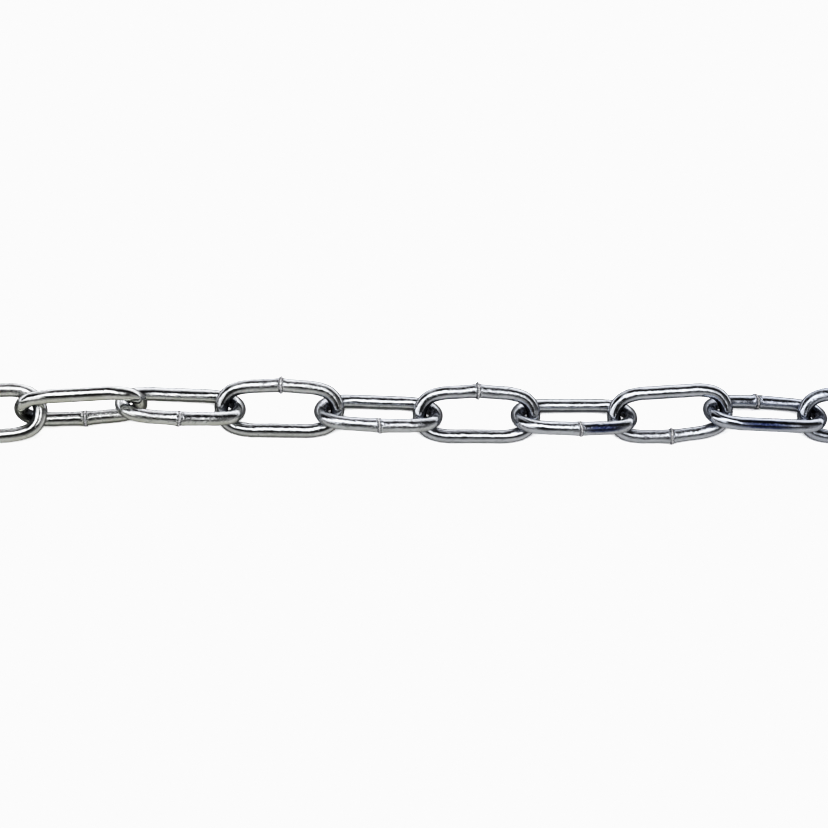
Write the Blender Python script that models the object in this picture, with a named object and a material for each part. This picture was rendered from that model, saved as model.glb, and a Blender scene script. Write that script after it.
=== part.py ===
"""A metre of long-link steel chain, laid out along X on the floor. Blender 4.5, metres, +Z up.

Each link is one bent ring of round wire, butt-welded near the middle of one long side, and it is
threaded through its two neighbours. The links lie as flat as they can: they lean to the two sides
in turn, and one link in the left half stands on edge, where the two leans change places.
"""
import math

import bpy
import numpy as np
from mathutils import Matrix, Vector

MM = 0.001

# Driving dimensions of one link
WIRE = 4.8 * MM
INNER_LENGTH = 35.0 * MM
OUTER_WIDTH = 20.0 * MM
BOW_LENGTH = 11.0 * MM
SHOULDER = math.radians(16.0)
WELD_RISE = 0.8 * MM
BEAD_SWELL = 1.22
BEAD_WIDTH = 1.5 * MM
SWELL_REACH = 3.0 * MM

# The chain
LINK_COUNT = 29
MIDDLE_LINK = 15
UPRIGHT_LINK = 12
GAP = 0.5 * MM
SHORTEST_PITCH = 28.0 * MM
LEAN = 34.0

# The plain links sway across the chain in one gentle wave, and their welds vary in place
SWAY = 2.2
SWAY_TURN = 0.492
SWAY_START = 0.157
WELD_SPREAD = 0.8
WELD_TURN = 2.3

# Fineness of the wire, and of the search for the place where two links meet
WIRE_SIDES = 10
SHOULDER_STEPS = 2
TIP_STEPS = 8
TRIAL_STEPS = 16
WIRE_SAMPLES = 6

STEEL_COLOUR = (0.60, 0.61, 0.63, 1.0)
STEEL_ROUGHNESS = 0.28

# How the middle links lie: lean of the raised side, sway across the chain in millimetres, yaw and
# pitch in degrees, the side that carries the weld (1 the raised wire, -1 the wire on the floor) and
# how far the weld is off the middle in millimetres. The other links lie plainly.
LAID = {
    10: (143.0, -2.1, 0.3, 0.0, 1, 0.4),
    11: (23.5, -1.5, 2.6, 4.8, 1, 0.4),
    12: (85.0, 0.3, 2.2, 2.8, -1, 0.8),
    13: (146.5, 1.1, 1.2, -7.8, 1, -1.5),
    14: (35.5, 1.3, -1.1, 0.0, 1, 0.4),
    15: (146.0, -0.4, -2.3, 0.0, 1, 0.0),
    16: (34.0, -1.0, -0.6, 0.0, 1, 0.3),
    17: (146.0, -1.8, -0.2, 0.0, 1, 1.2),
    18: (34.0, -1.0, 2.5, 3.0, -1, 0.3),
    19: (146.0, -1.3, -1.5, -3.0, -1, -1.0),
    20: (34.0, -1.6, -0.6, 0.0, 1, 0.5),
}

# The upright link holds its two neighbours this far off the floor
HELD_UP = {11: 2.0 * MM, 13: 1.2 * MM}

# Flat-sided wire keeps the round wire's cross-section area when its corners stand out a little
CORNER = WIRE / 2 * math.sqrt(2 * math.pi / (WIRE_SIDES * math.sin(2 * math.pi / WIRE_SIDES)))
HALF_LENGTH = (INNER_LENGTH + WIRE) / 2
HALF_WIDTH = (OUTER_WIDTH - WIRE) / 2
SIDE_ANGLE = 360.0 / WIRE_SIDES
STRAIGHT = HALF_LENGTH - BOW_LENGTH

# A bow is bent in three arcs, a slack shoulder on each side of a tighter tip. They meet smoothly,
# so what the bow is longer than wide fixes how much the two radii differ.
RADIUS_STEP = (BOW_LENGTH - HALF_WIDTH) / (math.sin(SHOULDER) + math.cos(SHOULDER) - 1)
TIP_RADIUS = BOW_LENGTH - RADIUS_STEP * math.sin(SHOULDER)
SHOULDER_RADIUS = TIP_RADIUS + RADIUS_STEP


def how_laid(number):
    """Lean, sway, yaw, pitch, weld side and weld shift of a link; the plain ones lean in turn."""
    if number in LAID:
        return LAID[number]
    leans_back = (number % 2 == 1) == (number < UPRIGHT_LINK)
    lean = LEAN if leans_back else 180.0 - LEAN
    phase = SWAY_TURN * number + SWAY_START
    sway = SWAY * math.sin(phase)
    yaw = math.degrees(math.atan(SWAY * MM * SWAY_TURN * math.cos(phase) / INNER_LENGTH))
    weld_shift = WELD_SPREAD * math.sin(number * WELD_TURN)
    return lean, sway, yaw, 0.0, 1, weld_shift


def arc(centre_x, centre_y, radius, start, end, steps):
    """Points on an arc, whose angle runs clockwise from +Y."""
    points = []
    for step in range(steps + 1):
        angle = start + (end - start) * step / steps
        points.append((centre_x + radius * math.sin(angle), centre_y + radius * math.cos(angle)))
    return points


def bow(sign):
    """Centreline of one rounded end, in order round the link."""
    past_tip = math.pi - SHOULDER
    shoulder_y = HALF_WIDTH - SHOULDER_RADIUS
    points = arc(STRAIGHT, shoulder_y, SHOULDER_RADIUS, 0.0, SHOULDER, SHOULDER_STEPS)
    points += arc(HALF_LENGTH - TIP_RADIUS, 0.0, TIP_RADIUS, SHOULDER, past_tip, TIP_STEPS)[1:-1]
    points += arc(STRAIGHT, -shoulder_y, SHOULDER_RADIUS, past_tip, math.pi, SHOULDER_STEPS)
    return [(sign * x, sign * y, 1.0) for x, y in points]


def link_path(weld_side, weld_shift):
    """Closed centreline of a link as (x, y, swell), with the weld on a low ridge of one side."""
    weld = []
    for offset, swell in ((-SWELL_REACH, 1.0), (-BEAD_WIDTH / 2, BEAD_SWELL),
                          (BEAD_WIDTH / 2, BEAD_SWELL), (SWELL_REACH, 1.0)):
        ridge = WELD_RISE * (1 - abs(offset) / STRAIGHT)
        weld.append((weld_shift + offset, HALF_WIDTH + ridge, swell))
    points = bow(1) + bow(-1) + weld
    return [(x, weld_side * y, swell) for x, y, swell in points]


def flat_side_down(lean, weld_side):
    """Turn of the wire's section that lays one of its flat sides level on the floor."""
    turn = (lean - 90.0 - SIDE_ANGLE / 2) % SIDE_ANGLE
    if turn > SIDE_ANGLE / 2:
        turn -= SIDE_ANGLE
    return math.radians(weld_side * turn)


def steel():
    """Bright zinc-plated steel."""
    material = bpy.data.materials.new("zinc_plated_steel")
    material.use_nodes = True
    shader = material.node_tree.nodes["Principled BSDF"]
    shader.inputs["Base Color"].default_value = STEEL_COLOUR
    shader.inputs["Metallic"].default_value = 1.0
    shader.inputs["Roughness"].default_value = STEEL_ROUGHNESS
    return material


def make_link(number, collection):
    """One link as a closed wire curve in its own flat frame, turned and set down as it lies."""
    lean, sway, yaw, pitch, weld_side, weld_shift = how_laid(number)
    path = link_path(weld_side, weld_shift * MM)
    curve = bpy.data.curves.new("link_%02d" % number, "CURVE")
    curve.dimensions = "3D"
    curve.twist_mode = "Z_UP"
    curve.bevel_depth = CORNER
    curve.bevel_resolution = (WIRE_SIDES - 4) // 2
    spline = curve.splines.new("POLY")
    spline.points.add(len(path) - 1)
    spline.use_cyclic_u = True
    for point, (x, y, swell) in zip(spline.points, path):
        point.co = (x, y, 0.0, 1.0)
        point.radius = swell
        point.tilt = flat_side_down(lean, weld_side)
    curve.materials.append(steel())
    link = bpy.data.objects.new(curve.name, curve)
    collection.objects.link(link)
    turn = Matrix.Rotation(math.radians(yaw), 4, "Z") @ Matrix.Rotation(-math.radians(pitch), 4, "Y")
    turn = turn @ Matrix.Rotation(math.radians(lean), 4, "X")
    link.matrix_world = Matrix.Translation((0.0, sway * MM, 0.0)) @ turn
    bpy.context.view_layer.update()
    link.location.z = HELD_UP.get(number, 0.0) - corners(link)[:, 2].min()
    bpy.context.view_layer.update()
    return link


def corners(link):
    """Corner points of a link's finished surface, in the chain's frame."""
    shape = link.evaluated_get(bpy.context.evaluated_depsgraph_get())
    mesh = shape.to_mesh()
    points = np.array([link.matrix_world @ corner.co for corner in mesh.vertices])
    shape.to_mesh_clear()
    return points


def centreline(link):
    """Points close together along the middle of a link's wire, in the chain's frame."""
    ends = [link.matrix_world @ Vector(point.co[:3]) for point in link.data.splines[0].points]
    points = []
    for start, end in zip(ends, ends[1:] + ends[:1]):
        points += [start.lerp(end, step / WIRE_SAMPLES) for step in range(WIRE_SAMPLES)]
    return np.array(points)


def pull_tight(link, neighbour):
    """Slide a link along X until its wire is one gap away from its neighbour's wire."""
    held = centreline(neighbour)
    moving = centreline(link)
    offset = neighbour.location.x - link.location.x
    slack, tight = SHORTEST_PITCH, INNER_LENGTH
    for _ in range(TRIAL_STEPS):
        middle = (slack + tight) / 2
        placed = moving + (offset + middle, 0.0, 0.0)
        nearest = np.linalg.norm(held[:, None] - placed[None], axis=2).min()
        if nearest < WIRE + GAP:
            tight = middle
        else:
            slack = middle
    link.location.x += offset + slack
    bpy.context.view_layer.update()


def hold_by_pivot(link, neighbour, side):
    """Hang a link from an empty on its neighbour's bow, where it swings in its own plane."""
    place = neighbour.matrix_world @ Vector((side * HALF_LENGTH, 0.0, 0.0))
    pivot = bpy.data.objects.new(link.name + "_pivot", None)
    pivot.empty_display_size = WIRE
    link.users_collection[0].objects.link(pivot)
    pivot.parent = neighbour
    as_laid = link.matrix_world.copy()
    pivot.matrix_world = Matrix.Translation(place) @ as_laid.to_3x3().to_4x4()
    bpy.context.view_layer.update()
    link.parent = pivot
    link.matrix_world = as_laid
    bpy.context.view_layer.update()


def make_chain():
    """All the links in order along X, with the whole chain's base centred on the origin."""
    group = bpy.data.collections.new("long_link_chain")
    bpy.context.scene.collection.children.link(group)
    links = []
    for number in range(1, LINK_COUNT + 1):
        link = make_link(number, group)
        if links:
            pull_tight(link, links[-1])
        links.append(link)
    points = np.vstack([corners(link) for link in links])
    middle = (points.min(axis=0) + points.max(axis=0)) / 2
    for link in links:
        link.location.x -= middle[0]
        link.location.y -= middle[1]
    bpy.context.view_layer.update()
    for number in range(MIDDLE_LINK, LINK_COUNT):
        hold_by_pivot(links[number], links[number - 1], 1)
    for number in range(MIDDLE_LINK - 1, 0, -1):
        hold_by_pivot(links[number - 1], links[number], -1)
    return links


for old in list(bpy.data.objects):
    bpy.data.objects.remove(old)
chain = make_chain()
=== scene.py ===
# %% [markdown]
# # A metre of long-link chain, made from one bent wire
#
# The object is ordinary zinc-plated steel chain, the kind sold by the metre. Every link is the same
# thing: a round wire bent into a long ring, with its two ends butt-welded near the middle of one
# side. So this lesson makes one link well, copies it for every place in the chain, and then gives
# each copy its own weld, nicks and stains.
#
# The frame comes first. It holds the solid links where they lie, and each link made here takes its
# place from one of them.

# %% Load the frame
import math
import random

import bpy
import numpy as np
from mathutils import Matrix, Vector


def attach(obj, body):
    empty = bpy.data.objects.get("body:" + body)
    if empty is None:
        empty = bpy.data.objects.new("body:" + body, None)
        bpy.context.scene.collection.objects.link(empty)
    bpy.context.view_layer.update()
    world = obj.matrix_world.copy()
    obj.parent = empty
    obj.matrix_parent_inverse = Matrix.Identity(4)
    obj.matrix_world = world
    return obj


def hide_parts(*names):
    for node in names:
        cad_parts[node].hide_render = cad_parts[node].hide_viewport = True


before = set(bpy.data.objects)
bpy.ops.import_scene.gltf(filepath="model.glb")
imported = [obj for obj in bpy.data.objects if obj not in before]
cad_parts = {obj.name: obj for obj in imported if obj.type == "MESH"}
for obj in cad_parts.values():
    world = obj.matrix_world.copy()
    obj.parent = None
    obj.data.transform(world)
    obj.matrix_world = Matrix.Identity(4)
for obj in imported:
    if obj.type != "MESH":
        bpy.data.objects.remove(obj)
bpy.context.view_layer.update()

MM = 0.001
print("links in the frame:", len(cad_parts))

# %% [markdown]
# ## The camera
#
# The chain is seen from above its near side, 64 degrees up, with a long lens. The camera stands a
# little to the left and looks along the chain by a few degrees, so the links get shorter in the
# picture towards the right. It could be aimed with a constraint. A plain position and turn are used
# instead, because they stay readable and nothing has to be evaluated.

# %% Camera
AIM = Vector((11.1, -1.0, 7.0)) * MM
AZIMUTH = math.radians(-13.15)
ELEVATION = math.radians(64.0)
ROLL = math.radians(11.75)
DISTANCE = 674.7 * MM
LENS = 85.0
SENSOR = 36.0
NEAREST = 0.01

towards_camera = Vector((math.sin(AZIMUTH) * math.cos(ELEVATION),
                         -math.cos(AZIMUTH) * math.cos(ELEVATION),
                         math.sin(ELEVATION)))
camera_data = bpy.data.cameras.new("product_camera")
camera_data.lens = LENS
camera_data.sensor_width = SENSOR
camera_data.clip_start = NEAREST
camera = bpy.data.objects.new("product_camera", camera_data)
bpy.context.scene.collection.objects.link(camera)
turn = towards_camera.to_track_quat("Z", "Y").to_matrix() @ Matrix.Rotation(ROLL, 3, "Z")
camera.matrix_world = Matrix.Translation(AIM + towards_camera * DISTANCE) @ turn.to_4x4()
bpy.context.scene.camera = camera
print("camera at", [round(value, 3) for value in camera.matrix_world.translation])

# %% [markdown]
# ## The path of the wire
#
# A link could follow one smooth formula. The real one is bent round a die, which leaves arcs: a
# tight one round each end, and a slack shoulder where it runs out into the straight side. Two radii
# are enough, and they follow from the length and width of the bow. Arcs also suit the Spin
# operator, which turns a profile about a centre.

# %% Sizes of a link
WIRE = 4.8 * MM
INNER_LENGTH = 35.0 * MM
OUTER_WIDTH = 20.0 * MM
BOW_LENGTH = 11.0 * MM
SHOULDER = math.radians(16.0)

HALF_LENGTH = (INNER_LENGTH + WIRE) / 2
HALF_WIDTH = (OUTER_WIDTH - WIRE) / 2
STRAIGHT = HALF_LENGTH - BOW_LENGTH

# The shoulder arc starts level with the side and the tip arc ends square across the end, so the
# difference between their radii is fixed by how much longer than wide the bow is.
radius_step = (BOW_LENGTH - HALF_WIDTH) / (math.sin(SHOULDER) + math.cos(SHOULDER) - 1)
TIP_RADIUS = BOW_LENGTH - radius_step * math.sin(SHOULDER)
SHOULDER_RADIUS = TIP_RADIUS + radius_step
print("bow radii in mm:", round(TIP_RADIUS / MM, 2), round(SHOULDER_RADIUS / MM, 2))

# %% [markdown]
# ## Bending half a link
#
# A curve with a round bevel would give a wire in one step. Here the wire is drawn out by hand, from
# a circle that is extruded along the straight side and spun round the bow, because the rings can
# then be closer together at the weld, where the detail is. Only the right half is made. The mirror
# gives the other one.

# %% Tools for drawing out a wire
WIRE_SIDES = 40
SIDE_RINGS = 15
WELD_STEP = 0.12 * MM
WELD_RINGS = 15
SHOULDER_RINGS = 10
TIP_RINGS = 34


def deselect_all():
    """Leave nothing selected, since an operator acts on all that is."""
    bpy.ops.object.select_all(action="DESELECT")


def draw_out(length, rings):
    """Extrude the selected ring along X, in as many equal steps as asked."""
    step = (length / rings, 0.0, 0.0)
    for _ in range(rings):
        bpy.ops.mesh.extrude_region_move(TRANSFORM_OT_translate={"value": step})


def bend_round(centre_x, centre_y, angle, rings):
    """Spin the selected ring anticlockwise. With no window Spin turns the other way round +Z."""
    bpy.ops.mesh.spin(steps=rings, angle=angle, center=(centre_x, centre_y, 0.0),
                      axis=(0.0, 0.0, -1.0))


print("steps in half a link:", 2 * (SIDE_RINGS + SHOULDER_RINGS) + TIP_RINGS + WELD_RINGS)

# %% Half a link
deselect_all()
bpy.ops.mesh.primitive_circle_add(vertices=WIRE_SIDES, radius=WIRE / 2,
                                  location=(0.0, -HALF_WIDTH, 0.0), rotation=(0.0, math.pi / 2, 0.0))
master = bpy.context.object
master.name = "link_master"
bpy.ops.object.transform_apply(location=True, rotation=True, scale=True)
bpy.ops.object.mode_set(mode="EDIT")
bpy.ops.mesh.select_all(action="SELECT")

draw_out(STRAIGHT, SIDE_RINGS)
bend_round(STRAIGHT, SHOULDER_RADIUS - HALF_WIDTH, SHOULDER, SHOULDER_RINGS)
bend_round(HALF_LENGTH - TIP_RADIUS, 0.0, math.pi - 2 * SHOULDER, TIP_RINGS)
bend_round(STRAIGHT, HALF_WIDTH - SHOULDER_RADIUS, SHOULDER, SHOULDER_RINGS)
draw_out(WELD_RINGS * WELD_STEP - STRAIGHT, SIDE_RINGS)
draw_out(-WELD_RINGS * WELD_STEP, WELD_RINGS)
bpy.ops.object.mode_set(mode="OBJECT")
end_ring = np.array([corner.co for corner in master.data.vertices if corner.select])
print("half a link ends at, in mm:", (end_ring.mean(axis=0) / MM).round(3))

# %% Mirror it into a closed ring
SAME_PLACE = 0.00001

mirror = master.modifiers.new("other_half", "MIRROR")
mirror.use_axis = (True, False, False)
mirror.merge_threshold = SAME_PLACE
deselect_all()
master.select_set(True)
bpy.context.view_layer.objects.active = master
bpy.ops.object.modifier_apply(modifier=mirror.name)
bpy.ops.object.mode_set(mode="EDIT")
bpy.ops.mesh.select_all(action="SELECT")
bpy.ops.mesh.remove_doubles(threshold=SAME_PLACE)
bpy.ops.mesh.normals_make_consistent(inside=False)
bpy.ops.object.mode_set(mode="OBJECT")
print("plain link:", len(master.data.vertices), "corners,", len(master.data.polygons), "faces")

# %% [markdown]
# ## Selecting by place
#
# By hand, the next steps would be clicks in the viewport. In a script each click becomes a rule
# about where the points are. The helper below selects the corners that pass such a rule and leaves
# the link in edit mode, ready for the next operator. It is tried out on the zone of the weld, which
# gets finer faces.

# %% A helper that selects by place
def corners_of(link):
    """The corners of a mesh as rows of x, y, z."""
    points = np.empty(len(link.data.vertices) * 3, np.float32)
    link.data.vertices.foreach_get("co", points)
    return points.reshape(-1, 3).astype(float)


def edit_where(link, chosen):
    """Enter edit mode with only the chosen corners selected."""
    deselect_all()
    link.select_set(True)
    bpy.context.view_layer.objects.active = link
    bpy.ops.object.mode_set(mode="EDIT")
    bpy.ops.mesh.select_mode(type="VERT")
    bpy.ops.mesh.select_all(action="DESELECT")
    bpy.ops.object.mode_set(mode="OBJECT")
    link.data.vertices.foreach_set("select", chosen)
    bpy.ops.object.mode_set(mode="EDIT")


print("corners to select from:", len(corners_of(master)))

# %% Finer faces round the weld
WELD_ZONE = 1.75 * MM

coarse = corners_of(master)
edit_where(master, (abs(coarse[:, 0]) < WELD_ZONE) & (coarse[:, 1] > 0))
bpy.ops.mesh.subdivide(number_cuts=1, smoothness=1.0)
bpy.ops.object.mode_set(mode="OBJECT")
print("with a fine weld zone:", len(master.data.polygons), "faces")

# %% [markdown]
# ## Coordinates that run along the wire
#
# Drawing marks run along a wire and follow it round every bend. A pattern on Object coordinates
# would cut straight through the bend, so each corner of each face remembers where it was on the
# straight wire: how far along, how far outwards and how far up. The three values are stored as an
# attribute of the face corners, because a link is a closed loop and the distance along it has to
# start again somewhere.

# %% Distance along the wire
SHOULDER_LENGTH = SHOULDER * SHOULDER_RADIUS
TIP_LENGTH = (math.pi - 2 * SHOULDER) * TIP_RADIUS
HALF_PATH = 2 * (STRAIGHT + SHOULDER_LENGTH) + TIP_LENGTH


def along_wire(points):
    """Distance along the wire from the middle of the plain side, and outwards from its axis."""
    x, y = abs(points[:, 0]), points[:, 1]
    from_shoulder = np.arctan2(x - STRAIGHT, abs(y) - (HALF_WIDTH - SHOULDER_RADIUS))
    from_tip = np.arctan2(abs(y), x - (HALF_LENGTH - TIP_RADIUS))
    reach_shoulder = np.hypot(x - STRAIGHT, abs(y) - (HALF_WIDTH - SHOULDER_RADIUS))
    reach_tip = np.hypot(x - (HALF_LENGTH - TIP_RADIUS), y)
    on_side = x <= STRAIGHT
    on_shoulder = ~on_side & (from_shoulder < SHOULDER)
    to_middle = np.select([on_side, on_shoulder],
                          [x, STRAIGHT + SHOULDER_RADIUS * from_shoulder],
                          HALF_PATH / 2 - TIP_RADIUS * from_tip)
    outwards = np.select([on_side, on_shoulder],
                         [abs(y) - HALF_WIDTH, reach_shoulder - SHOULDER_RADIUS],
                         reach_tip - TIP_RADIUS)
    along = np.where(y < 0, to_middle, HALF_PATH - to_middle)
    return np.copysign(along, points[:, 0]), outwards


unwelded = corners_of(master)
along, outwards = along_wire(unwelded)
print("wire in one link, mm:", round(2 * HALF_PATH / MM, 1))

# %% Straight-wire coordinates
face_corners = np.empty(len(master.data.loops), np.int32)
master.data.loops.foreach_get("vertex_index", face_corners)
corner_along = along[face_corners]
for face in master.data.polygons:
    span = slice(face.loop_start, face.loop_start + face.loop_total)
    if np.ptp(corner_along[span]) > HALF_PATH:
        corner_along[span] = np.where(corner_along[span] < 0, corner_along[span] + 2 * HALF_PATH,
                                      corner_along[span])
straight = np.column_stack([corner_along, outwards[face_corners], unwelded[face_corners, 2]])
attribute = master.data.attributes.new("straight_wire", "FLOAT_VECTOR", "CORNER")
attribute.data.foreach_set("vector", straight.astype(np.float32).ravel())
print("face corners with a place on the straight wire:", len(straight))

# %% [markdown]
# ## The weld
#
# To weld a link, its two ends are pressed together red hot. The side kinks out a little, the wire
# swells where it was soft, and a thin ring of metal is squeezed out all round the joint. One of the
# two ends was held closer to the joint and flares out towards it like a cone. Each of these is one
# operator with proportional editing, which is how it would be done by hand: pull the middle ring of
# the side outwards, scale it with a wide reach, scale a ring beside it for the cone, and scale the
# middle ring again with a narrow reach.

# %% Kink, swelling, cone and ridge
KINK = 0.75 * MM
KINK_REACH = 15.0 * MM
SWELLING = 1.06
SWELLING_REACH = 3.6 * MM
FLARE = 1.05
FLARE_REACH = 1.8 * MM
FLARE_SHIFT = 5 * WELD_STEP
RIDGE = 1.10
RIDGE_REACH = 0.65 * MM
SAME_RING = WELD_STEP / 10


def widen(ring, factor, falloff, reach):
    """Scale a ring of the master's wire about the middle of the weld, its neighbours less so."""
    edit_where(master, ring)
    bpy.ops.transform.resize(value=(1.0, factor, factor), use_proportional_edit=True,
                             center_override=(0.0, HALF_WIDTH + KINK, 0.0),
                             proportional_edit_falloff=falloff, proportional_size=reach)
    bpy.ops.object.mode_set(mode="OBJECT")


weld_ring = (abs(unwelded[:, 0]) < SAME_RING) & (unwelded[:, 1] > 0)
flare_ring = (abs(unwelded[:, 0] + FLARE_SHIFT) < SAME_RING) & (unwelded[:, 1] > 0)
edit_where(master, weld_ring)
bpy.ops.transform.translate(value=(0.0, KINK, 0.0), use_proportional_edit=True,
                            proportional_edit_falloff="SHARP", proportional_size=KINK_REACH)
bpy.ops.object.mode_set(mode="OBJECT")
widen(weld_ring, SWELLING, "SMOOTH", SWELLING_REACH)
widen(flare_ring, FLARE, "SHARP", FLARE_REACH)
widen(weld_ring, RIDGE, "SPHERE", RIDGE_REACH)
ridge_points = corners_of(master)[weld_ring]
print("ridge across, mm:", round(np.ptp(ridge_points[:, 2]) / MM, 2))

# %% Where the weld's lumps may grow
FLASH_REACH = 1.3 * MM
LUMP_GROUP = "weld_flash"

to_weld = HALF_PATH - abs(along)
flash = master.vertex_groups.new(name=LUMP_GROUP)
for index in np.flatnonzero(to_weld < FLASH_REACH):
    flash.add([int(index)], float(1 - to_weld[index] / FLASH_REACH), "REPLACE")
print("corners in the flash:", int((to_weld < FLASH_REACH).sum()))

# %% [markdown]
# ## Reading a link's place from the frame
#
# Each copy has to lie exactly where its solid lies. The layout could be repeated as a table of
# angles. It is safer to measure it: the corners of a link's two bows are spread most along its
# length, less across it and least through it, so the three main directions of that cloud of points
# are the link's own axes. The few corners left over are those of the weld, and they tell which side
# carries it and where.

# %% The place of a link
DIGITS = 7
BOW_START = STRAIGHT - MM


def main_directions(cloud):
    """Unit vectors across and along a cloud of points, the second one towards +X."""
    _, directions = np.linalg.eigh(cloud.T @ cloud)
    return directions[:, 1], directions[:, 2] * np.copysign(1.0, directions[0, 2])


def place_of(node):
    """A link's turn and centre as a matrix, with +Y towards its weld, and the weld's shift."""
    cloud = np.unique(corners_of(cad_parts[node]).round(DIGITS), axis=0)
    middle = (cloud.min(axis=0) + cloud.max(axis=0)) / 2
    _, lengthwise = main_directions(cloud - middle)
    bows = cloud[abs((cloud - middle) @ lengthwise) > BOW_START]
    middle = bows.mean(axis=0)
    across, lengthwise = main_directions(bows - middle)
    weld = cloud[abs((cloud - middle) @ lengthwise) < BOW_START].mean(axis=0) - middle
    across = across * np.copysign(1.0, weld @ across)
    axes = np.column_stack([lengthwise, across, np.cross(lengthwise, across)])
    place = Matrix.Translation(middle) @ Matrix(axes.tolist()).to_4x4()
    return place, float(weld @ lengthwise)


place, weld_shift = place_of("link_15")
print("link_15 centre, mm:", [round(value / MM, 2) for value in place.translation],
      "weld shift", round(weld_shift / MM, 2))

# %% [markdown]
# ## Plated steel
#
# Zinc plating on drawn wire is bright but not perfect. Lines from the drawing die run along it,
# tumbling in the barrel leaves shallow ripples and pits, and the thin clear coat shifts the colour
# towards blue or straw. A picture of all that would have to be wrapped round the wire. Noise on the
# straight-wire coordinates gives the same marks and follows every bend.
#
# A material is a tree of small nodes. The helpers add one node each, so that the steps after them
# read like a recipe.

# %% Helpers that add a node
def add_node(tree, kind, **settings):
    """One shader node, with properties set by name and input values given as a dict."""
    node = tree.nodes.new(kind)
    for name, value in settings.pop("inputs", {}).items():
        node.inputs[name].default_value = value
    for name, value in settings.items():
        setattr(node, name, value)
    return node


def feed(tree, socket, value):
    """Link a socket to another one, or give it a plain number or colour."""
    if isinstance(value, (int, float, tuple)):
        socket.default_value = value
    else:
        tree.links.new(value, socket)


def noise(tree, vector, scale, stretch=1.0, detail=3.0, roughness=0.5, offset=0.0):
    """Noise with this many features per metre, drawn out along the wire by the stretch."""
    mapping = add_node(tree, "ShaderNodeMapping",
                       inputs={"Scale": (scale / stretch, scale, scale), "Location": (offset,) * 3})
    texture = add_node(tree, "ShaderNodeTexNoise",
                       inputs={"Scale": 1.0, "Detail": detail, "Roughness": roughness})
    tree.links.new(vector, mapping.inputs["Vector"])
    tree.links.new(mapping.outputs["Vector"], texture.inputs["Vector"])
    return texture.outputs["Fac"]


def remap(tree, value, low, high, to_low=0.0, to_high=1.0):
    """A value spread from one range to another and cut off at its ends."""
    limits = {"From Min": low, "From Max": high, "To Min": to_low, "To Max": to_high}
    node = add_node(tree, "ShaderNodeMapRange", inputs=limits)
    tree.links.new(value, node.inputs["Value"])
    return node.outputs["Result"]


print("helpers so far:", [helper.__name__ for helper in (add_node, feed, noise, remap)])

# %% Helpers that combine values
# The Mix node has several inputs called A and B; these are the numbers of those for colours
COLOUR_A, COLOUR_B, COLOUR_RESULT = 6, 7, 2


def calculate(tree, operation, first, second=0.0):
    """Two values combined; each is a socket or a plain number."""
    node = add_node(tree, "ShaderNodeMath", operation=operation)
    feed(tree, node.inputs[0], first)
    feed(tree, node.inputs[1], second)
    return node.outputs["Value"]


def times(tree, first, second):
    """The product of two values."""
    return calculate(tree, "MULTIPLY", first, second)


def plus(tree, first, second):
    """The sum of two values."""
    return calculate(tree, "ADD", first, second)


def tinted(tree, amount, colour, over):
    """A colour laid over another one by an amount from 0 to 1."""
    node = add_node(tree, "ShaderNodeMix", data_type="RGBA", clamp_factor=True)
    tree.links.new(amount, node.inputs["Factor"])
    feed(tree, node.inputs[COLOUR_A], over)
    feed(tree, node.inputs[COLOUR_B], colour)
    return node.outputs[COLOUR_RESULT]


def parts_of(tree, vector):
    """The X, Y and Z of a vector as three sockets."""
    node = add_node(tree, "ShaderNodeSeparateXYZ")
    tree.links.new(vector, node.inputs["Vector"])
    return node.outputs


print("more helpers:", [helper.__name__ for helper in (calculate, times, plus, tinted, parts_of)])

# %% A new metal
EDGE_TINT = (0.65, 0.65, 0.65, 1.0)

zinc = bpy.data.materials.new("bright_zinc_plate")
zinc.use_nodes = True
tree = zinc.node_tree
shader = tree.nodes["Principled BSDF"]
shader.inputs["Metallic"].default_value = 1.0
shader.inputs["Specular Tint"].default_value = EDGE_TINT
master.data.materials.append(zinc)
print("new metal:", zinc.name, "with", len(tree.nodes), "nodes")

# %% Patterns on the wire
# Features per metre of each pattern, how far it is drawn out along the wire, and how fine it is
DIE_LINES = {"scale": 2600.0, "stretch": 30.0, "detail": 2.0}
RIPPLES = {"scale": 900.0, "stretch": 2.0, "detail": 2.0}
GRAIN = {"scale": 1900.0, "stretch": 1.6, "detail": 3.0, "roughness": 0.6}
CLOUDS = {"scale": 130.0, "detail": 4.0}
PITS = {"scale": 1500.0, "detail": 1.0, "offset": 7.0}
PIT_EDGE = (0.66, 0.74)

wire = add_node(tree, "ShaderNodeAttribute", attribute_name="straight_wire").outputs["Vector"]
stains_and_weld_shading = add_node(tree, "ShaderNodeAttribute", attribute_name="stains_and_weld_shading")
stain_amounts = add_node(tree, "ShaderNodeSeparateColor")
tree.links.new(stains_and_weld_shading.outputs["Color"], stain_amounts.inputs["Color"])
straw_amount, blue_amount, weld_amount = stain_amounts.outputs[:3]
cool_amount = stains_and_weld_shading.outputs["Alpha"]
speckle = add_node(tree, "ShaderNodeAttribute", attribute_name="speckle").outputs["Fac"]
place_in_chain = add_node(tree, "ShaderNodeTexCoord").outputs["Object"]

die_lines = noise(tree, wire, **DIE_LINES)
ripples = noise(tree, wire, **RIPPLES)
grain = noise(tree, wire, **GRAIN)
cloudiness = noise(tree, place_in_chain, **CLOUDS)
pits = remap(tree, noise(tree, place_in_chain, **PITS), *PIT_EDGE)
print("nodes that make the patterns:", len(tree.nodes))
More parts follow.
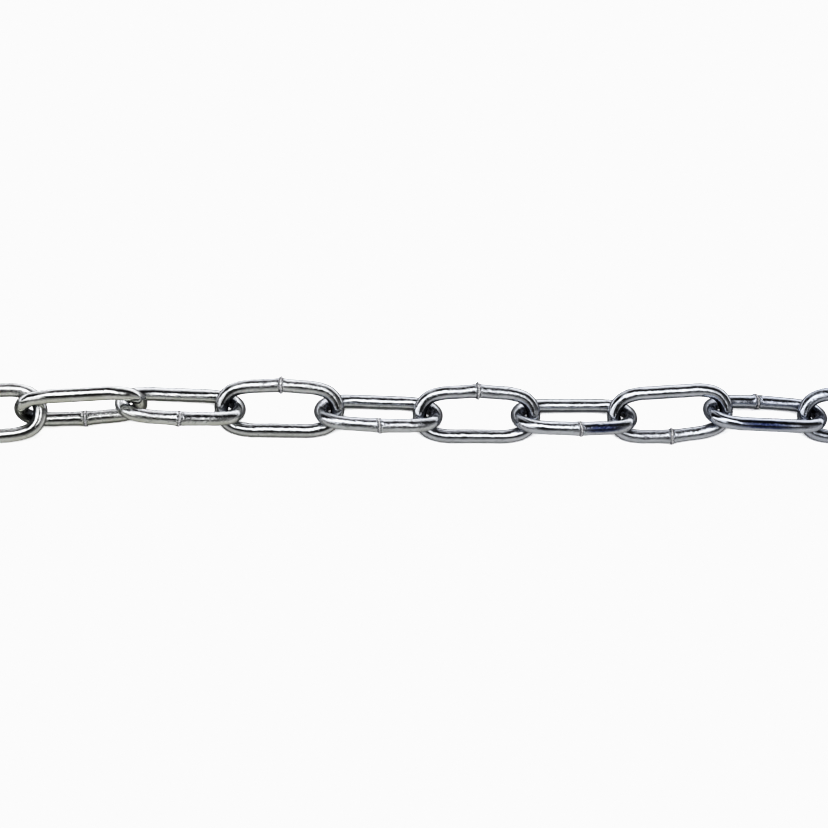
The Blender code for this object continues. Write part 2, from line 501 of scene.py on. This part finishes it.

# %% [markdown]
# ## Colour in layers
#
# Each tint is laid over the one before by a mask, as thin washes of paint would be. The broad ones
# come first: dull clouds, the cool or straw cast of a link, the blue bloom. Then come painted shade
# beside the weld's ridge, a painted highlight on the ridge itself, painted shade on the inner side
# of the bow, where the next link closes over it, and the pits.

# %% Broad tints
ZINC = (0.70, 0.71, 0.72, 1.0)
DULL_ZINC = (0.50, 0.50, 0.51, 1.0)
COOL = (0.46, 0.50, 0.60, 1.0)
STRAW = (0.60, 0.61, 0.45, 1.0)
DEEP_BLUE = (0.03, 0.05, 0.14, 1.0)
# How a pattern breaks up each tint: the range of the noise, and the range of cover that it becomes
CLOUDS_TO_DULLNESS = (0.45, 0.75, 0.0, 0.7)
CLOUDS_TO_STRAW = (0.3, 0.6, 0.6, 1.0)
GRAIN_TO_BLUE = (0.35, 0.6, 0.75, 1.0)

dullness = remap(tree, cloudiness, *CLOUDS_TO_DULLNESS)
straw_cover = times(tree, straw_amount, remap(tree, cloudiness, *CLOUDS_TO_STRAW))
blue_cover = times(tree, blue_amount, remap(tree, grain, *GRAIN_TO_BLUE))
colour = tinted(tree, dullness, DULL_ZINC, ZINC)
colour = tinted(tree, cool_amount, COOL, colour)
colour = tinted(tree, straw_cover, STRAW, colour)
colour = tinted(tree, blue_cover, DEEP_BLUE, colour)
print("nodes with the broad tints:", len(tree.nodes))

# %% Weld, bow and pits
# Painted shade beside the weld's ridge, and a painted highlight along the ridge
WELD_PAINTED_SHADE = (0.12, 0.12, 0.13, 1.0)
WELD_PAINTED_HIGHLIGHT = (0.92, 0.92, 0.94, 1.0)
# Painted shade on the inner side of the bow, where the next link closes over it
BOW_PAINTED_SHADE = (0.10, 0.11, 0.14, 1.0)
PIT_GREY = (0.10, 0.10, 0.11, 1.0)
PIT_COVER = 0.6
# Where in the stored weld amount the painted shade on the flank and the painted highlight on the
# ridge come in, and how the ripples and the grain break them up
FLANK_ZONE = (0.30, 0.55)
RIPPLES_TO_FLANK = (0.35, 0.60, 0.35, 0.95)
RIDGE_ZONE = (0.70, 0.92)
GRAIN_TO_RIDGE = (0.28, 0.42)
# Distance along the wire from the middle of the bow, and outwards from the wire's axis
BOW_FADE = (13 * MM, 6 * MM)
INNER_FADE = (-0.6 * MM, -1.6 * MM)
BOW_COVER = 0.75

# The weld amount gives painted shade on the flanks and a painted highlight on the ridge
painted_shade_beside_ridge = times(tree, remap(tree, weld_amount, *FLANK_ZONE),
                     remap(tree, ripples, *RIPPLES_TO_FLANK))
painted_highlight_on_ridge = times(tree, remap(tree, weld_amount, *RIDGE_ZONE), remap(tree, grain, *GRAIN_TO_RIDGE))
along_it, out_of_axis, _ = parts_of(tree, wire)
past_bow = calculate(tree, "SUBTRACT", calculate(tree, "ABSOLUTE", along_it), HALF_PATH / 2)
# Painted shade on the inner side of each bow, fading away from its middle
inner_bow_painted_shade = times(tree, remap(tree, calculate(tree, "ABSOLUTE", past_bow), *BOW_FADE),
                  remap(tree, out_of_axis, *INNER_FADE, 0.0, BOW_COVER))
colour = tinted(tree, painted_shade_beside_ridge, WELD_PAINTED_SHADE, colour)
colour = tinted(tree, painted_highlight_on_ridge, WELD_PAINTED_HIGHLIGHT, colour)
colour = tinted(tree, inner_bow_painted_shade, BOW_PAINTED_SHADE, colour)
colour = tinted(tree, times(tree, pits, PIT_COVER), PIT_GREY, colour)
tree.links.new(colour, shader.inputs["Base Color"])
print("nodes with all colours:", len(tree.nodes))

# %% [markdown]
# ## Shine and relief
#
# How sharply the plate mirrors depends on its roughness, and the marks in it bend the mirror image.
# Real dents this small would take millions of faces. A bump node tilts the surface's normal
# instead, by a height that is the sum of all the patterns. It comes to a few hundredths of a
# millimetre, so next to nothing is missing from the outline.

# %% Shine
POLISH = (0.03, 0.08)
CLOUDS_IN_POLISH = (0.3, 0.7)
WELD_ROUGHNESS = 0.12
PIT_ROUGHNESS = 0.2

roughness = remap(tree, cloudiness, *CLOUDS_IN_POLISH, *POLISH)
roughness = plus(tree, roughness, times(tree, weld_amount, WELD_ROUGHNESS))
roughness = plus(tree, roughness, times(tree, pits, PIT_ROUGHNESS))
tree.links.new(roughness, shader.inputs["Roughness"])
print("roughness of clean plate:", POLISH)

# %% Relief
# Heights as multiples of the bump's distance
BUMP_DISTANCE = 0.03 * MM
LINE_HEIGHT = 0.35
RIPPLE_HEIGHT = 2.2
GRAIN_HEIGHT = (1.0, 4.0)
PIT_DEPTH = 0.5
WELD_GRAIN = 3.0
CLOUDS_IN_GRAIN = (0.3, 0.55)

speckled = times(tree, speckle, remap(tree, cloudiness, *CLOUDS_IN_GRAIN))
grain_height = remap(tree, speckled, 0.0, 1.0, *GRAIN_HEIGHT)
relief = times(tree, die_lines, LINE_HEIGHT)
relief = plus(tree, relief, times(tree, ripples, RIPPLE_HEIGHT))
relief = plus(tree, relief, times(tree, grain, grain_height))
relief = calculate(tree, "SUBTRACT", relief, times(tree, pits, PIT_DEPTH))
relief = plus(tree, relief, times(tree, times(tree, grain, weld_amount), WELD_GRAIN))
bump = add_node(tree, "ShaderNodeBump", inputs={"Strength": 1.0, "Distance": BUMP_DISTANCE})
tree.links.new(relief, bump.inputs["Height"])
tree.links.new(bump.outputs["Normal"], shader.inputs["Normal"])
print("nodes in the zinc plate:", len(tree.nodes))

# %% [markdown]
# ## Every link its own
#
# Welding leaves each link slightly different: the joint is a little off the middle, and thin thorns
# of metal stand up from its ridge, mostly on the outer and inner side where the tool did not press
# them flat. They could be modelled for each link by hand. Ten links show close up here, so those
# get chosen values and the others get seeded random ones, and the same operators serve all.

# %% Pulling and pushing the surface
LUMP_SIZE = 0.6 * MM
LUMP_HEIGHT = 1.5 * MM
LUMP_LEVEL = 0.66
WAVE_SIZE = 5.0 * MM
WAVE_HEIGHT = 0.15 * MM

lumps = bpy.data.textures.new("flash_lumps", "CLOUDS")
lumps.noise_scale = LUMP_SIZE
waves = bpy.data.textures.new("wire_waves", "CLOUDS")
waves.noise_scale = WAVE_SIZE


def pull(link, centre, move, reach):
    """Pull the surface near a point along a vector, with a pointed falloff."""
    distance = np.linalg.norm(corners_of(link) - np.array(centre), axis=1)
    edit_where(link, distance < distance.min() + WELD_STEP)
    bpy.ops.transform.translate(value=move, use_proportional_edit=True,
                                proportional_edit_falloff="SHARP", proportional_size=reach)
    bpy.ops.object.mode_set(mode="OBJECT")


def displace(link, texture, height, level=0.5, group=""):
    """Push the surface in and out by a texture and make the change final."""
    modifier = link.modifiers.new(texture.name, "DISPLACE")
    modifier.texture = texture
    modifier.texture_coords = "LOCAL"
    modifier.strength = height
    modifier.mid_level = level
    modifier.vertex_group = group
    deselect_all()
    link.select_set(True)
    bpy.context.view_layer.objects.active = link
    bpy.ops.object.modifier_apply(modifier=modifier.name)


print("textures:", [texture.name for texture in (lumps, waves)])

# %% Thorns and shift of a weld
# Height in mm of the thorn on the outer and on the inner side of the weld
THORNS = {11: (0.3, 0.4), 12: (0.4, 1.1), 13: (0.5, 0.8), 14: (0.35, 0.75), 15: (0.4, 0.9),
          16: (0.9, 0.6), 17: (0.4, 0.8), 18: (0.2, 0.9), 19: (0.8, 0.7), 20: (0.4, 0.3)}
OUTER_THORN = (0.0, 0.1)
INNER_THORN = (0.3, 0.7)
THORN_REACH = 1.0 * MM
SEAM_SLANT = 0.7 * MM
SLANT_REACH = 3.0 * MM
SEED = 12

chance = random.Random(SEED)


def shape_weld(link, number, weld_shift):
    """Slant a link's seam, draw out the thorns of its flash and shift the weld along its side."""
    slant = chance.uniform(-SEAM_SLANT, SEAM_SLANT)
    for up in (1, -1):
        pull(link, (0.0, HALF_WIDTH + KINK, up * WIRE / 2), (up * slant, 0.0, 0.0), SLANT_REACH)
    any_thorns = (chance.uniform(*OUTER_THORN), chance.uniform(*INNER_THORN))
    outer, inner = THORNS.get(number, any_thorns)
    crest = WIRE / 2 * SWELLING * RIDGE
    pull(link, (0.0, HALF_WIDTH + KINK + crest, 0.0), (0.0, outer * MM, 0.0), THORN_REACH)
    pull(link, (0.0, HALF_WIDTH + KINK - crest, 0.0), (0.0, -inner * MM, 0.0), THORN_REACH)
    edit_where(link, weld_ring)
    bpy.ops.transform.translate(value=(weld_shift, 0.0, 0.0), use_proportional_edit=True,
                                proportional_edit_falloff="SHARP", proportional_size=KINK_REACH)
    bpy.ops.object.mode_set(mode="OBJECT")


print("longest thorn, mm:", max(max(pair) for pair in THORNS.values()))

# %% Nicks and burrs
# Each as the distance from the middle of the welded side in mm, the turn round the wire in degrees
# from its outer side towards the camera, and how far the surface moves out in mm
NICKS = {14: [(-8.7, 10, -0.2)], 17: [(8.0, 75, -0.12)],
         18: [(-9.2, 95, -0.14), (-5.6, 95, -0.14), (-12.0, 80, -0.1)],
         19: [(2.2, 190, 0.3), (-2.0, 50, 0.35), (-0.2, 100, 0.3), (-1.7, 120, 0.3)]}
NICK_REACH = 0.75 * MM
NICKS_ELSEWHERE = 2
NICK_SPREAD = 9.0
NICK_DEPTH = -0.12


def any_nicks():
    """Random dents on the side of the wire that faces the camera."""
    return [(chance.uniform(-NICK_SPREAD, NICK_SPREAD), chance.uniform(0.0, 180.0), NICK_DEPTH)
            for _ in range(NICKS_ELSEWHERE)]


def add_nicks(link, number, place):
    """Dent the welded side of a link here and there, or raise a burr."""
    to_camera = place.to_3x3().transposed() @ towards_camera
    up = math.copysign(1.0, to_camera.z)
    for along_side, turn_round, height in NICKS.get(number, any_nicks()):
        turn_round = math.radians(turn_round)
        outwards = Vector((0.0, math.cos(turn_round), up * math.sin(turn_round)))
        on_axis = Vector((along_side * MM, HALF_WIDTH + KINK / 2, 0.0))
        pull(link, on_axis + outwards * WIRE / 2, outwards * height * MM, NICK_REACH)


print("links with chosen nicks:", sorted(NICKS))

# %% [markdown]
# ## Stains, and the weld's painted shade and highlight, stored in the mesh
#
# The blue blooms, the straw cast and the weld's painted shade and highlight sit at fixed places on
# each link. They could be painted on a picture, which needs an unwrapped mesh. A colour stored at
# each corner is enough, because the corners are close together, and it takes a formula: this much
# here, fading that fast.

# %% Where the stains and the weld's painted shade are
# Blue blooms as their middle and half length along the side in mm, the side that has them (1 the
# welded one) and how deep they are
BLOOMS = {17: [(8.5, 7.0, 1, 1.0)], 19: [(-2.0, 9.5, -1, 1.0), (3.0, 11.0, 1, 0.15)]}
BLOOM_EDGE = 4
# A bloom covers the part of the wire that faces the viewer of the picture, with a soft edge
FACING = 0.72
FACING_BLEND = 0.14
# How straw-coloured, how cool and how speckled the links are
STRAW_LINKS = {11: 0.4, 12: 0.5, 13: 0.45, 14: 0.3, 15: 0.25}
COOL_LINKS = {11: 0.0, 12: 0.0, 13: 0.15, 14: 0.2, 15: 0.35, 16: 0.35, 17: 0.4, 18: 0.45,
              19: 0.65, 20: 0.7}
SPECKLED = {12: 0.5, 13: 0.9, 14: 1.0, 15: 1.0, 16: 0.6, 17: 0.8, 18: 0.9, 19: 0.6}
PLAIN_STRAW, PLAIN_COOL, PLAIN_SPECKLE = 0.12, 0.2, 0.7
# Straw shows where the wire faces the near side and the floor
STRAW_NEAR, STRAW_DOWN, STRAW_START = 0.9, 0.45, 0.25
# The painted shade on the weld's flank reaches further on the cone's side of the weld
FLANK_LEFT, FLANK_RIGHT, FLANK_START = 0.8, 0.65, 1.2
print("links with a bloom:", sorted(BLOOMS))

# %% Storing the stains and the weld's painted shade
beside_weld = to_weld / (np.where(unwelded[:, 0] < 0, FLANK_LEFT, FLANK_RIGHT) * FLASH_REACH)


def blue_bloom(number, normals):
    """How deep the blue tint is at each corner of a link."""
    depths = np.zeros(len(unwelded), np.float32)
    facing = np.clip((normals @ np.array(towards_camera) - FACING) / FACING_BLEND, 0.0, 1.0)
    for middle, reach, side, depth in BLOOMS.get(number, []):
        fading = np.exp(-((unwelded[:, 0] / MM - middle) / reach) ** BLOOM_EDGE)
        depths += depth * fading * facing * (side * unwelded[:, 1] > 0)
    return depths


def add_stains_and_weld_shading(link, number):
    """Store each corner's straw, blue, weld (painted shade and highlight) and coolness."""
    normals = np.array([corner.normal for corner in link.data.vertices])
    to_front = np.clip(-STRAW_NEAR * normals[:, 1] - STRAW_DOWN * normals[:, 2] + STRAW_START, 0.0, 1.0)
    amounts = np.empty((len(normals), 4), np.float32)
    amounts[:, 0] = STRAW_LINKS.get(number, PLAIN_STRAW) * to_front
    amounts[:, 1] = blue_bloom(number, normals)
    amounts[:, 2] = np.clip(FLANK_START - beside_weld, 0.0, 1.0)
    amounts[:, 3] = COOL_LINKS.get(number, PLAIN_COOL)
    stains_and_weld_shading = link.data.attributes.new("stains_and_weld_shading", "FLOAT_COLOR", "POINT")
    stains_and_weld_shading.data.foreach_set("color", amounts.ravel())
    welded_side = np.clip(unwelded[:, 1] / HALF_WIDTH, 0.0, 1.0)
    speckles = SPECKLED.get(number, PLAIN_SPECKLE) * welded_side
    speckle = link.data.attributes.new("speckle", "FLOAT", "POINT")
    speckle.data.foreach_set("value", speckles.astype(np.float32))


print("corners that show the weld:", int((beside_weld < FLANK_START).sum()))

# %% [markdown]
# ## Laying the links
#
# A copy of the master is shaped while it still lies flat at the origin, and its mesh is then moved
# to the link's place, so that the object itself stays at the origin. The displacement comes after
# the move, because a texture on local coordinates then differs from link to link. What it pushes
# under the floor is flattened.

# %% Make the links
def press_flat(link):
    """Lift what a mesh has below the floor to the floor's level."""
    edit_where(link, corners_of(link)[:, 2] < 0.0)
    bpy.ops.transform.resize(value=(1.0, 1.0, 0.0), center_override=(0.0, 0.0, 0.0))
    bpy.ops.object.mode_set(mode="OBJECT")


def make_link(number):
    """One finished link, laid where its solid lies and riding on the same body."""
    name = "link_%02d" % number
    place, weld_shift = place_of(name)
    link = bpy.data.objects.new("zinc_" + name, master.data.copy())
    bpy.context.scene.collection.objects.link(link)
    link.vertex_groups.new(name=LUMP_GROUP)
    shape_weld(link, number, weld_shift)
    add_nicks(link, number, place)
    link.data.transform(place)
    displace(link, waves, WAVE_HEIGHT)
    displace(link, lumps, LUMP_HEIGHT, LUMP_LEVEL, LUMP_GROUP)
    press_flat(link)
    add_stains_and_weld_shading(link, number)
    bpy.ops.object.shade_smooth()
    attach(link, name)
    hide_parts(name)
    return link


links = [make_link(number) for number in range(1, len(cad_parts) + 1)]
bpy.data.objects.remove(master)
triangles = sum(len(face.vertices) - 2 for link in links for face in link.data.polygons)
print("links made:", len(links), "with", triangles, "triangles")

# %% [markdown]
# ## The floor
#
# The floor is pale and plain. The camera sees it overexposed, as in a product picture. The wire
# reflects it with a painted shadow close under the chain and painted light further away, strongest
# behind the chain and to its left. One material can do both, because Light Path tells which of the
# two is looking.

# %% Floor
FLOOR_SIZE = 6.0
OVEREXPOSED = (4.0, 4.0, 4.0, 1.0)
# Painted shadow close under the chain and painted light behind it, brighter to the left, seen only in
# the wire
PAINTED_SHADOW_UNDER_CHAIN = (0.34, 0.34, 0.34, 1.0)
IN_FRONT = (0.95, 0.94, 0.94, 1.0)
PAINTED_LIGHT_BEHIND_LEFT = (3.2, 3.2, 3.2, 1.0)
PAINTED_LIGHT_BEHIND_RIGHT = (1.5, 1.5, 1.5, 1.0)
# Where each tone begins and where it is full
FRONT_FADE = (-8 * MM, -15 * MM)
BEHIND_FADE = (20 * MM, 110 * MM)
LEFT_FADE = (80 * MM, -120 * MM)

deselect_all()
bpy.ops.mesh.primitive_plane_add(size=FLOOR_SIZE, location=(0.0, 0.0, 0.0))
floor = bpy.context.object
floor.name = "pale_floor"
paper = bpy.data.materials.new("pale_paper")
paper.use_nodes = True
tree = paper.node_tree
tree.nodes.remove(tree.nodes["Principled BSDF"])
matte = add_node(tree, "ShaderNodeBsdfDiffuse")
for_camera = add_node(tree, "ShaderNodeLightPath").outputs["Is Camera Ray"]
across_x, across_y, _ = parts_of(tree, add_node(tree, "ShaderNodeTexCoord").outputs["Object"])
near_floor = tinted(tree, remap(tree, across_y, *FRONT_FADE), IN_FRONT, PAINTED_SHADOW_UNDER_CHAIN)
far_floor = tinted(tree, remap(tree, across_x, *LEFT_FADE), PAINTED_LIGHT_BEHIND_LEFT, PAINTED_LIGHT_BEHIND_RIGHT)
seen_in_wire = tinted(tree, remap(tree, across_y, *BEHIND_FADE), far_floor, near_floor)
tree.links.new(tinted(tree, for_camera, OVEREXPOSED, seen_in_wire), matte.inputs["Color"])
tree.links.new(matte.outputs["BSDF"], tree.nodes["Material Output"].inputs["Surface"])
floor.data.materials.append(paper)
print("nodes in the paper:", len(tree.nodes))

# %% [markdown]
# ## The room in the wire
#
# Polished wire shows the room as stripes along its length: a bright one for the lamp overhead, a
# light one for the pale wall behind, and dark gaps between. Area lamps could make them, but then
# every gap has to be found by moving lamps. The world can be drawn instead, by two coordinates
# that suit a chain: the angle round its length, and how far a direction leans to its left or
# right end. The lamp is a slanting strip in them, and each wall is a patch with soft edges.

# %% Two coordinates of the room
world = bpy.data.worlds.new("soft_studio")
world.use_nodes = True
bpy.context.scene.world = world
tree = world.node_tree

direction = add_node(tree, "ShaderNodeTexCoord").outputs["Generated"]
sideways, away, upwards = parts_of(tree, direction)
# The angle round the chain in degrees, from 0 at the near horizon over 90 overhead to 180 far off
towards = times(tree, away, -1.0)
angle = calculate(tree, "DEGREES", calculate(tree, "ARCTAN2", upwards, towards))


def edge(from_left, to_right, softness):
    """Rises from 0 to 1 where the angle passes an edge that slants from left to right.

    Each end of the edge is its sideways position and its angle. A negative softness makes it fall.
    """
    (left, left_angle), (right, right_angle) = from_left, to_right
    slanted = remap(tree, sideways, left, right, left_angle, right_angle)
    past_edge = calculate(tree, "SUBTRACT", angle, slanted)
    return remap(tree, past_edge, -softness / 2, softness / 2)


def lit(brightness, *masks):
    """A brightness cut down by any number of masks."""
    for mask in masks:
        brightness = times(tree, mask, brightness)
    return brightness


print("nodes for the two coordinates:", len(tree.nodes))

# %% The lamp overhead
LAMP = 1.9
NEAR_EDGE = ((-0.05, 72.0), (0.25, 48.0))
FAR_EDGE = ((-0.05, 112.0), (0.25, 83.0))
LAMP_SOFTNESS = 8.0
LEFT_END = (-0.50, -0.30)
# The far edge comes nearer at the left end, and the lamp gets weaker in two steps to the right
LEFT_END_FAR = (102.0, 88.0)
LAMP_WEAKER = (0.15, 0.29, 1.0, 0.6)
LAMP_WEAKEST = (0.29, 0.50, 1.0, 0.12)

left_end = calculate(tree, "MAXIMUM", remap(tree, sideways, *LEFT_END),
                     remap(tree, angle, *LEFT_END_FAR))
lamp = lit(LAMP, left_end, edge(*NEAR_EDGE, LAMP_SOFTNESS), edge(*FAR_EDGE, -LAMP_SOFTNESS),
           remap(tree, sideways, *LAMP_WEAKER), remap(tree, sideways, *LAMP_WEAKEST))
print("lamp brightness:", LAMP)

# %% The side walls
# A fade is the range over which a wall comes in, and where four numbers stand, its two brightnesses
LEFT_WALL = 1.1
LEFT_FADE_IN = (-0.25, -0.45)
LEFT_BOTTOM = (34.0, 44.0)
LEFT_TOP = (104.0, 86.0)
RIGHT_WALL = 0.35
RIGHT_FADE_IN = (0.50, 0.70)
RIGHT_TOP = (62.0, 50.0)

left_wall = lit(LEFT_WALL, remap(tree, sideways, *LEFT_FADE_IN),
                remap(tree, angle, *LEFT_BOTTOM), remap(tree, angle, *LEFT_TOP))
right_wall = lit(RIGHT_WALL, remap(tree, sideways, *RIGHT_FADE_IN), remap(tree, angle, *RIGHT_TOP))
print("side walls:", LEFT_WALL, "left and", RIGHT_WALL, "right")

# %% The near and far walls
NEAR_WALL = 0.55
NEAR_TOP = (38.0, 4.0, 0.05, 1.0)
NEAR_FADE_IN = (-0.85, -0.45, 0.08, 1.0)
FAR_WALL = 1.3
FAR_WALL_EDGE = ((-0.05, 166.0), (0.15, 138.0))
FAR_WALL_SOFTNESS = 34.0
FAR_FADE_OUT = (-0.30, -0.60, 1.0, 0.35)
CORNER_EDGE = ((-0.70, 158.0), (-0.35, 134.0))
CORNER_SOFTNESS = 30.0
CORNER_FADE_IN = (-0.14, -0.26, 0.0, 0.55)

near_wall = lit(NEAR_WALL, remap(tree, angle, *NEAR_TOP), remap(tree, sideways, *NEAR_FADE_IN))
far_wall = lit(FAR_WALL, edge(*FAR_WALL_EDGE, FAR_WALL_SOFTNESS),
               remap(tree, sideways, *FAR_FADE_OUT))
far_corner = lit(LEFT_WALL, edge(*CORNER_EDGE, CORNER_SOFTNESS),
                 remap(tree, sideways, *CORNER_FADE_IN))
brightness = lamp
for wall in (left_wall, right_wall, near_wall, far_wall, far_corner):
    brightness = calculate(tree, "MAXIMUM", brightness, wall)
print("near wall:", NEAR_WALL, "far wall:", FAR_WALL, "nodes so far:", len(tree.nodes))

# %% Room and backdrop
WHITE = (1.0, 1.0, 1.0, 1.0)
BACKDROP = 1.5

room = tree.nodes["Background"]
room.inputs["Color"].default_value = WHITE
tree.links.new(brightness, room.inputs["Strength"])
backdrop = add_node(tree, "ShaderNodeBackground", inputs={"Color": WHITE, "Strength": BACKDROP})
for_camera = add_node(tree, "ShaderNodeLightPath").outputs["Is Camera Ray"]
blend = add_node(tree, "ShaderNodeMixShader")
tree.links.new(for_camera, blend.inputs["Fac"])
tree.links.new(room.outputs["Background"], blend.inputs[1])
tree.links.new(backdrop.outputs["Background"], blend.inputs[2])
tree.links.new(blend.outputs["Shader"], tree.nodes["World Output"].inputs["Surface"])
print("nodes in the room:", len(tree.nodes))

# %% [markdown]
# ## The tone curve
#
# A product picture of bright metal is printed hard: its blacks are deeper and its metal brighter
# than the light alone gives, while the ground stays just below full white. That could be forced
# with stronger lights, which would also burn out the stripes. A curve over the finished picture
# does it, as in a darkroom, and leaves the scene as it is.

# %% Tone curve
# Points of the curve as brightness before and after
TONES = ((0.05, 0.028), (0.15, 0.145), (0.40, 0.48), (0.75, 0.84), (1.0, 0.965))
ALL_CHANNELS = 3

grading = bpy.context.scene.view_settings
grading.view_transform = "Standard"
grading.use_curve_mapping = True
grading.curve_mapping.extend = "HORIZONTAL"
tone_curve = grading.curve_mapping.curves[ALL_CHANNELS]
tone_curve.points[-1].location = TONES[-1]
for tone in TONES[:-1]:
    tone_curve.points.new(*tone)
grading.curve_mapping.update()
print("points in the tone curve:", len(tone_curve.points))
